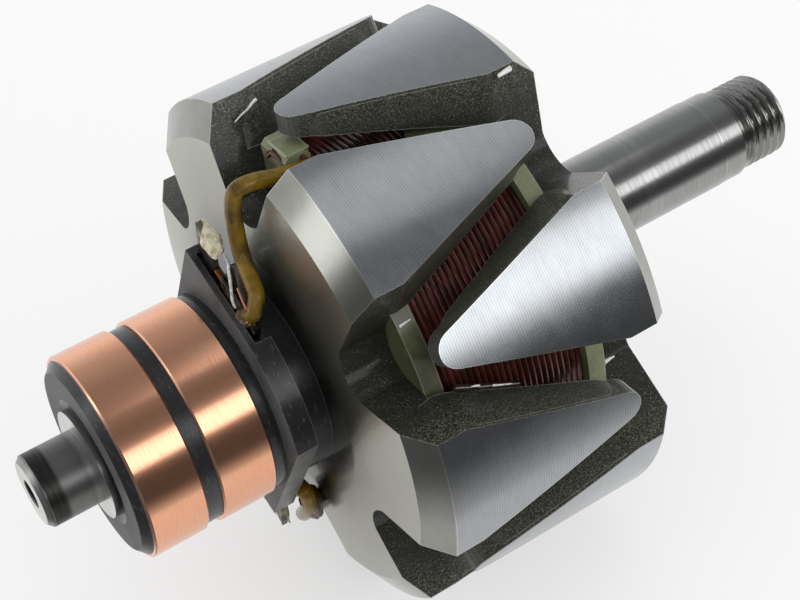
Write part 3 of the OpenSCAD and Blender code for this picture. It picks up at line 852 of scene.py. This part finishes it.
class ROTOR_OT_leads(bpy.types.Operator):
    """Lays the braided sleeves and the bare wires from the bobbin to the terminals"""
    bl_idname = "rotor.leads"
    bl_label = "Leads"

    def execute(self, context):
        size = sizes()
        braid, copper = varnished_braid(), bare_copper()
        start = ((-11.6, 36.2, 98.2), (-17.8, 36.9, 97.4), (-22.0, 38.0, 97.0), (-24.8, 37.6, 96.6),
                 (-25.7, 34.6, 96.2), (-25.9, 30.4, 96.4), (-26.2, 26.6, 99.0), (-26.6, 24.4, 105.5),
                 (-27.2, 23.4, 111.5), (-28.4, 21.4, 114.5), (-29.25, 20.4, 113.0))
        finish = ((-11.6, 36.2, 278.2), (-17.8, 36.6, 277.0), (-22.0, 35.8, 274.5), (-24.6, 33.2, 271.0),
                  (-25.4, 30.0, 265.0), (-25.8, 26.0, 256.5), (-26.0, 22.8, 254.0), (-26.4, 21.6, 262.0),
                  (-27.4, 21.8, 277.0), (-28.6, 21.2, 288.0), (-29.25, 20.4, 293.0))
        slot_floor, foot = 17.8, 12.1
        for end, stops, half_turn in (("start", start, 0.0), ("finish", finish, 180.0)):
            sleeve = tube("sleeve_" + end, route(stops, 10), size.sleeve_diameter / 2, 28)
            add_piece(sleeve, braid, "varnished_sleeve", "lead_sleeve_" + end)
            bare = [stops[-1]]
            for across, up in ((foot - 8, 1.1), (foot - 4, 1.2), (foot, 1.6)):
                radius = math.hypot(across, slot_floor + up)
                turn = math.degrees(math.atan2(slot_floor + up, across)) + EAR_TURN + half_turn
                bare.append((stops[-1][0], radius, turn))
            wire = tube("wire_" + end, route(bare, 8), size.wire_diameter / 2, 14)
            add_piece(wire, copper, "bare_copper", "lead_wire_" + end)
        return {"FINISHED"}


class ROTOR_OT_terminals(bpy.types.Operator):
    """Finishes the terminals and adds the solder and the varnish around them"""
    bl_idname = "rotor.terminals"
    bl_label = "Terminals"

    def execute(self, context):
        tin, solder, varnish = tinned_metal(), grainy_solder(), dark_varnish_and_shade()
        for k, end in enumerate(("start", "finish")):
            dress("terminal_" + end, tin)
            along, across, up = turned_axes(EAR_TURN + 180.0 * k)
            leaf = along * -77.46 * MM + across * 15.3 * MM + up * 23.7 * MM
            long_way = (0.10 * along + 0.945 * across + 0.315 * up).normalized()
            wide_way = (0.927 * along - 0.236 * across + 0.291 * up).normalized()
            axes = (wide_way, wide_way.cross(long_way), long_way)
            drop = lump("solder_" + end, leaf, (1.65 * MM, 0.6 * MM, 3.1 * MM), axes, 0.14, 3.0 + k, 0.75)
            add_piece(drop, solder, "tinned_terminal")
            middle = along * -77.8 * MM + across * 6.2 * MM + up * 18.3 * MM
            pool = lump("varnish_pool_" + end, middle, (1.35 * MM, 6.4 * MM, 1.6 * MM), (along, across, up),
                        0.18, 7.0 + k)
            add_piece(pool, varnish, "varnished_sleeve")
        return {"FINISHED"}


class ROTOR_OT_varnish(bpy.types.Operator):
    """Adds the runs and drips of varnish on the leads, claws and winding"""
    bl_idname = "rotor.varnish"
    bl_label = "Varnish runs"

    def execute(self, context):
        clear, amber = highlight_varnish(), thick_varnish()
        dark, copper = bpy.data.materials["dark_varnish_and_shade"], bpy.data.materials["bare_copper"]
        # The pale runs are varnish beads coloured as painted highlights; the dark web behind the first lead
        # is varnish and painted shade.
        runs = (
            ("varnish_highlight_run_flank", clear, 0.10, 0.32, 1.0,
             ((-17.3, 39.8, 76.8), (-16.0, 40.4, 76.8), (-14.6, 40.8, 76.6), (-13.4, 41.2, 75.9),
              (-12.7, 41.3, 75.5))),
            ("varnish_highlight_run_tip", clear, 0.30, 0.55, 1.0,
             ((16.2, 42.3, 105.5), (17.5, 42.5, 105.4), (18.6, 42.6, 105.3))),
            ("varnish_highlight_run_side", clear, 0.5, 0.12, 1.0,
             ((17.6, 30.0, 187.8), (18.8, 29.9, 187.8), (20.0, 29.9, 187.8))),
            ("varnish_highlight_run_flange", clear, 0.30, 0.10, 1.0,
             ((-14.6, 34.2, 142.8), (-13.9, 34.2, 142.6), (-12.5, 34.2, 142.4))),
            ("varnish_drip", dark, 0.60, 0.40, 0.9,
             ((-11.2, 35.9, 161.3), (-9.9, 36.1, 162.2), (-8.6, 36.3, 163.0), (-7.6, 36.4, 163.7),
              (-5.6, 36.7, 164.9), (-3.5, 37.0, 166.2), (-1.6, 37.3, 167.3))),
            ("varnish_drip_gleam_short", clear, 0.10, 0.20, 1.0,
             ((-9.0, 36.7, 162.4), (-8.3, 36.8, 162.6), (-7.6, 36.8, 163.1))),
            ("varnish_drip_gleam_long", clear, 0.18, 0.10, 1.0,
             ((-5.8, 37.1, 164.4), (-4.3, 37.3, 165.3), (-2.9, 37.4, 166.2))),
            ("varnish_highlight_strand", clear, 0.30, 0.22, 1.0,
             ((-27.7, 25.2, 91.4), (-27.6, 24.2, 93.5), (-28.2, 22.9, 96.2), (-28.9, 21.8, 99.9),
              (-29.7, 20.9, 104.2), (-29.9, 20.4, 107.5))),
            # Varnish and painted shade: a dark web that keeps the corner behind the first lead black.
            ("varnish_shade_fill", dark, 1.5, 1.8, 0.9,
             ((-26.1, 23.6, 93.4), (-26.3, 21.9, 96.6), (-26.9, 20.2, 100.6), (-27.4, 18.6, 105.6))),
        )
        for name, material, radius, end_radius, flat, stops in runs:
            run = tube(name, route(stops, 6), radius * MM, 14, end_radius * MM, flat)
            add_piece(run, material, "varnished_sleeve")
        strand = ((-28.9, 23.9, 105.6), (-29.1, 23.0, 109.2), (-29.2, 21.9, 113.4), (-28.9, 19.9, 116.2),
                  (-28.5, 18.2, 118.1))
        add_piece(tube("wire_strand", route(strand, 6), 0.2 * MM, 10), copper, "bare_copper")
        for name, middle, half_sizes, seed in (
                ("varnish_foot", (-29.8, 20.6, 113.7), (1.3, 0.8, 1.6), 11.0),
                ("varnish_loop", (-25.0, 25.8, 258.5), (1.7, 3.3, 2.3), 13.0)):
            mass = lump(name, at(*middle), [half * MM for half in half_sizes], turned_axes(middle[2]),
                        0.2, seed)
            add_piece(mass, amber, "varnished_sleeve")
        return {"FINISHED"}


class ROTOR_OT_stage(bpy.types.Operator):
    """Sets the floor, the soft light and the camera"""
    bl_idname = "rotor.stage"
    bl_label = "Stage"

    def execute(self, context):
        scene = context.scene
        stage = scene.rotor_stage
        scene.view_settings.view_transform = "Standard"
        low, high = CAD_BOX
        middle = (low + high) / 2

        build = bmesh.new()
        bmesh.ops.create_grid(build, x_segments=8, y_segments=8, size=3.0)
        mesh = bpy.data.meshes.new("floor")
        build.to_mesh(mesh)
        build.free()
        mesh.materials.append(floor_paint())
        floor = bpy.data.objects.new("floor", mesh)
        floor.location = (middle.x, middle.y, low.z)
        scene.collection.objects.link(floor)

        self.sky(scene)
        self.soft_box("key_light", middle, -66.0, 26.0, 0.55, (0.46, 0.21), stage.key_power)
        self.soft_box("top_light", middle, -15.0, 70.0, 0.60, (0.30, 0.20), stage.top_power)
        self.cards(middle)
        self.camera(scene)
        return {"FINISHED"}

    def soft_box(self, name, aim, azimuth, elevation, distance, span, power):
        """An area light that looks at the rotor."""
        turn, rise = math.radians(azimuth), math.radians(elevation)
        way = Vector((math.cos(rise) * math.cos(turn), math.cos(rise) * math.sin(turn), math.sin(rise)))
        light = bpy.data.lights.new(name, "AREA")
        light.shape = "RECTANGLE"
        light.size, light.size_y = span
        light.energy = power
        lamp = bpy.data.objects.new(name, light)
        lamp.location = aim + way * distance
        lamp.rotation_euler = way.to_track_quat("Z", "Y").to_euler()
        bpy.context.scene.collection.objects.link(lamp)

    def card(self, name, corners, faces, axis, stops):
        """A card that only shows in the rotor's gloss, with its greys at places along one axis."""
        shade = Shader(name)
        first, last = stops[0][0], stops[-1][0]
        grey = shade.ramp(shade.spread(shade.axes(shade.place())[axis], first, last),
                          [((place - first) / (last - first), (tone, tone, tone)) for place, tone in stops])
        shade.finish(Base_Color=(0.0, 0.0, 0.0), Roughness=1.0, Specular_IOR_Level=0.0,
                     Emission_Color=grey, Emission_Strength=1.0)
        mesh = bpy.data.meshes.new(name)
        mesh.from_pydata(corners, [], faces)
        mesh.materials.append(shade.material)
        card = bpy.data.objects.new(name, mesh)
        bpy.context.scene.collection.objects.link(card)
        card.visible_camera = False
        card.visible_diffuse = False
        card.visible_shadow = False

    def cards(self, middle):
        """Dark cards before the rotor and beside its slip rings, and a bright one behind those."""
        foot = CAD_BOX[0].z + 0.0005
        far, near = middle.y - 0.13, middle.y - 0.071
        self.card("dark_card",
                  ((-0.20, near, foot), (0.40, near, foot), (-0.20, far, foot), (0.40, far, foot),
                   (-0.20, far, 0.034), (0.40, far, 0.041)), ((0, 1, 3, 2), (2, 3, 5, 4)),
                  1, ((far, 0.075), ((far + near) / 2, 0.21), (near, 0.62)))
        foot += 0.0005
        self.card("side_card",
                  ((-0.100, 0.0, foot), (-0.100, -0.055, foot), (-0.28, 0.032, foot), (-0.28, -0.25, foot),
                   (-0.28, 0.032, 0.07), (-0.28, -0.25, 0.07)), ((0, 1, 3, 2), (2, 3, 5, 4)),
                  0, ((-0.138, 0.17), (-0.122, 0.28), (-0.100, 0.8)))
        self.card("bright_card",
                  ((-0.28, 0.041, -0.01), (-0.28, 0.099, -0.01), (-0.28, 0.099, 0.09), (-0.28, 0.041, 0.09)),
                  ((0, 1, 2, 3),), 1, ((0.041, 2.6), (0.070, 2.6), (0.099, 2.2)))

    def sky(self, scene):
        """White round about and greyer overhead for what is seen, and even light for the rest."""
        world = bpy.data.worlds.new("studio")
        scene.world = world
        shade = Shader("studio", world)
        shade.tree.nodes.clear()
        across, height = shade.axes(shade.node("ShaderNodeTexCoord").outputs["Generated"])[1:]
        greys = []
        for tones in ((1.0, 1.0, 0.80, 0.52, 0.38, 0.27), (1.0, 1.0, 0.56, 0.21, 0.16, 0.25)):
            cool = [(tone, min(1.0, tone * 1.03), min(1.0, tone * 1.06)) for tone in tones]
            greys.append(shade.ramp(height, list(zip((0.0, 0.16, 0.35, 0.57, 0.82, 0.93), cool))))
        shown = shade.node("ShaderNodeBackground")
        shade.put(shown.inputs["Color"], shade.blend(shade.spread(across, 0.15, -0.25), *greys))
        shown.inputs["Strength"].default_value = 1.0
        even = shade.node("ShaderNodeBackground")
        shade.put(even.inputs["Color"], (1.0, 1.0, 1.0))
        even.inputs["Strength"].default_value = scene.rotor_stage.ambient
        mix = shade.node("ShaderNodeMixShader")
        for socket, value in zip(mix.inputs, (shade.seen(), even.outputs[0], shown.outputs[0])):
            shade.put(socket, value)
        shade.put(shade.node("ShaderNodeOutputWorld").inputs["Surface"], mix.outputs[0])

    def camera(self, scene):
        """The camera, at the viewing angle of the picture."""
        stage = scene.rotor_stage
        view = bpy.data.cameras.new("camera")
        view.lens = stage.camera_lens
        view.sensor_width = SENSOR_WIDTH
        view.sensor_fit = "HORIZONTAL"
        view.clip_start = 0.01
        view.clip_end = 20.0
        camera = bpy.data.objects.new("camera", view)
        level = Vector(stage.camera_aim).to_track_quat("-Z", "Y")
        camera.rotation_mode = "QUATERNION"
        camera.rotation_quaternion = level @ Quaternion((0.0, 0.0, 1.0), -stage.camera_roll)
        camera.location = stage.camera_place
        scene.collection.objects.link(camera)
        scene.camera = camera


class ROTOR_PT_tools(bpy.types.Panel):
    """Lists the rotor's pieces and its stage"""
    bl_idname = "ROTOR_PT_tools"
    bl_label = "Claw-pole rotor"
    bl_space_type = "VIEW_3D"
    bl_region_type = "UI"
    bl_category = "Rotor"

    def draw(self, context):
        for tool in OPERATORS:
            self.layout.operator(tool.bl_idname)
        for group in (context.scene.rotor_sizes, context.scene.rotor_colours, context.scene.rotor_stage):
            box = self.layout.box()
            for key in group.__annotations__:
                box.prop(group, key)


OPERATORS = (ROTOR_OT_shaft, ROTOR_OT_poles, ROTOR_OT_draft, ROTOR_OT_winding, ROTOR_OT_slip_rings,
             ROTOR_OT_leads, ROTOR_OT_terminals, ROTOR_OT_varnish, ROTOR_OT_stage)
CLASSES = (RotorSizes, RotorColours, RotorStage, *OPERATORS, ROTOR_PT_tools)


def register():
    for kind in CLASSES:
        bpy.utils.register_class(kind)
    bpy.types.Scene.rotor_sizes = PointerProperty(type=RotorSizes)
    bpy.types.Scene.rotor_colours = PointerProperty(type=RotorColours)
    bpy.types.Scene.rotor_stage = PointerProperty(type=RotorStage)


def unregister():
    del bpy.types.Scene.rotor_stage
    del bpy.types.Scene.rotor_colours
    del bpy.types.Scene.rotor_sizes
    for kind in reversed(CLASSES):
        bpy.utils.unregister_class(kind)


def main():
    register()
    bpy.ops.rotor.shaft()
    bpy.ops.rotor.poles()
    bpy.ops.rotor.draft()
    bpy.ops.rotor.winding()
    bpy.ops.rotor.slip_rings()
    bpy.ops.rotor.leads()
    bpy.ops.rotor.terminals()
    bpy.ops.rotor.varnish()
    bpy.ops.rotor.stage()


if __name__ == "__main__":
    main()
